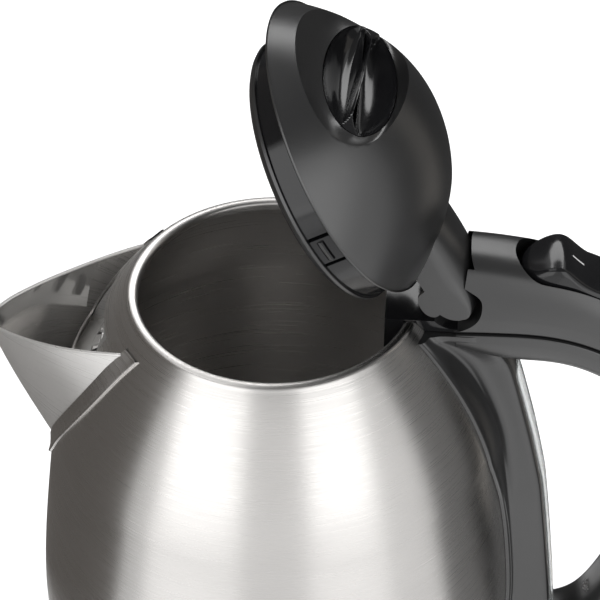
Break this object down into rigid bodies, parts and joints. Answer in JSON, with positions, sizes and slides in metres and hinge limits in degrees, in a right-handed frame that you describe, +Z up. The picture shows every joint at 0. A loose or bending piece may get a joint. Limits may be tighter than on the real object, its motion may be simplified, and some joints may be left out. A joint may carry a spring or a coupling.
{
  "type": "electric kettle",
  "caption": "Cordless electric kettle: steel jug with folded spout, hinged lid, loop handle with water gauge and switch, on a separate power base.",
  "frame": {"origin": "on the jug's axis, at the plane that the kettle stands on", "axes": "+Z up, +X toward the handle, -X toward the spout, Y = 0 is the plane of symmetry"},
  "size_m": [0.2359, 0.1649, 0.3027],
  "materials": {
    "shell_steel": "fine horizontal brushing",
    "spout_steel": "smooth, bright inside",
    "inner_steel": "plain",
    "spreader": "cast, plain",
    "element": "dark sheath",
    "control": "pale moulding",
    "disc_brass": "snap disc",
    "black_matte": "fine spark texture",
    "black_gloss": "gloss",
    "black_base": "satin gloss",
    "clear_gauge": "clear",
    "seal_rubber": "matte",
    "foot_rubber": "matte",
    "screw_steel": "plated",
    "contact_brass": "plain"
  },
  "bodies": {
    "power_base": {"deck_cover": "black_base", "base_plate": "black_base", "base_feet": "foot_rubber", "base_connector": "black_base", "base_contacts": "contact_brass", "base_screws": "screw_steel", "cord_bush": "black_base"},
    "jug": {"body_shell": "shell_steel", "spout": "spout_steel", "strainer": "spout_steel", "vessel_floor": "inner_steel", "heat_spreader": "spreader", "heating_element": "element", "control_unit": "control", "safety_discs": "disc_brass", "jug_socket": "black_base", "jug_base": "black_base", "base_seal": "seal_rubber", "jug_base_screws": "screw_steel", "handle_upper": "black_matte", "handle_lower": "black_gloss", "handle_screws": "screw_steel", "gauge_window": "clear_gauge", "gauge_seal": "seal_rubber", "hinge_bracket": "black_gloss", "hinge_pin": "screw_steel", "switch_pin": "screw_steel", "steam_switch": "control", "steam_disc": "disc_brass"},
    "lid": {"lid_cover": "black_matte", "lid_arm": "black_matte", "lid_skirt": "black_matte", "lid_plate": "black_matte", "lid_grip": "black_gloss", "lid_screws": "screw_steel"},
    "rocker": {"power_switch": "black_gloss"},
    "trip_lever": {"switch_lever": "control"}
  },
  "joints": [
    {"name": "jug_lift", "type": "slide", "parent": "power_base", "child": "jug", "axis": [0, 0, 1], "range_m": [0, 0.06]},
    {"name": "lid_hinge", "type": "hinge", "parent": "jug", "child": "lid", "pos_m": [0.0575, 0, 0.211], "axis": [0, 1, 0], "range_deg": [-60, 0]},
    {"name": "switch_rock", "type": "hinge", "parent": "jug", "child": "rocker", "pos_m": [0.093, 0, 0.2116], "axis": [0, 1, 0], "range_deg": [0, 8]},
    {"name": "lever_trip", "type": "hinge", "parent": "jug", "child": "trip_lever", "pos_m": [0.079, 0, 0.202], "axis": [0, 1, 0], "range_deg": [-5, 0]}
  ],
  "couplings": [
    {"joint": "lever_trip", "follows": "switch_rock", "ratio": -0.6}
  ]
}
